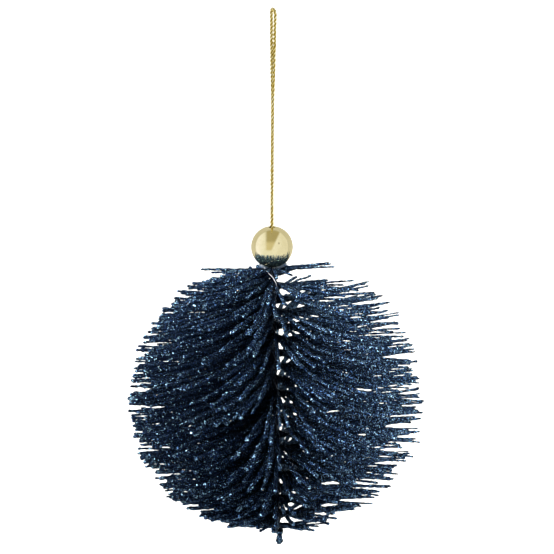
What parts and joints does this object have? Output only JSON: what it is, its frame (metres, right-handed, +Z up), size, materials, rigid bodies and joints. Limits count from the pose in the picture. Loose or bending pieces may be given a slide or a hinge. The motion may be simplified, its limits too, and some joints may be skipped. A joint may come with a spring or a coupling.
{
  "type": "hanging bristle ball ornament",
  "caption": "Ball of glitter-coated bristles on a twisted wire core, with a metallic bead on top, hanging from a doubled cord that ends in a small eye.",
  "frame": {"origin": "the hang point, on the underside of the top of the cord's eye, where a hook holds it", "axes": "+Z up along the cord, from the bead to the hook; +X to the right and -Y to the front of the ball"},
  "size_m": [0.0987, 0.0992, 0.186],
  "materials": {
    "cord": "twisted metallic lurex cord, gold",
    "bead": "metallised, pale gold, satin-bright",
    "hot_melt": "clear hot-melt glue, cloudy",
    "core_wire": "dark twisted wire",
    "bristles": "tinsel bristles coated in dark blue glitter"
  },
  "bodies": {
    "eye": {"cord_eye": "cord"},
    "upper_cord": {"cord_upper_left": "cord", "cord_upper_right": "cord"},
    "lower_cord": {"cord_lower_left": "cord", "cord_lower_right": "cord"},
    "ball": {"cord_tail_left": "cord", "cord_tail_right": "cord", "bead": "bead", "glue_collar": "hot_melt", "core_wire_a": "core_wire", "core_wire_b": "core_wire", "bristle_whorl_01": "bristles", "bristle_whorl_02": "bristles", "bristle_whorl_03": "bristles", "bristle_whorl_04": "bristles", "bristle_whorl_05": "bristles", "bristle_whorl_06": "bristles", "bristle_whorl_07": "bristles", "bristle_whorl_08": "bristles", "bristle_whorl_09": "bristles", "bristle_whorl_10": "bristles", "bristle_whorl_11": "bristles", "bristle_whorl_12": "bristles", "bristle_whorl_13": "bristles", "bristle_whorl_14": "bristles", "bristle_whorl_15": "bristles", "bristle_whorl_16": "bristles", "bristle_whorl_17": "bristles", "bristle_whorl_18": "bristles", "bristle_whorl_19": "bristles", "wire_end_knob": "bristles"}
  },
  "joints": [
    {"name": "cord_swing", "type": "hinge", "parent": "eye", "child": "upper_cord", "pos_m": [0, 0, -0.015], "axis": [0, 1, 0], "range_deg": [-60, 60]},
    {"name": "cord_spin", "type": "hinge", "parent": "upper_cord", "child": "lower_cord", "pos_m": [0, 0, -0.035], "axis": [0, 0, 1], "range_deg": [-170, 170]},
    {"name": "ball_tip", "type": "hinge", "parent": "lower_cord", "child": "ball", "pos_m": [0, 0, -0.0735], "axis": [1, 0, 0], "range_deg": [-60, 60]}
  ]
}
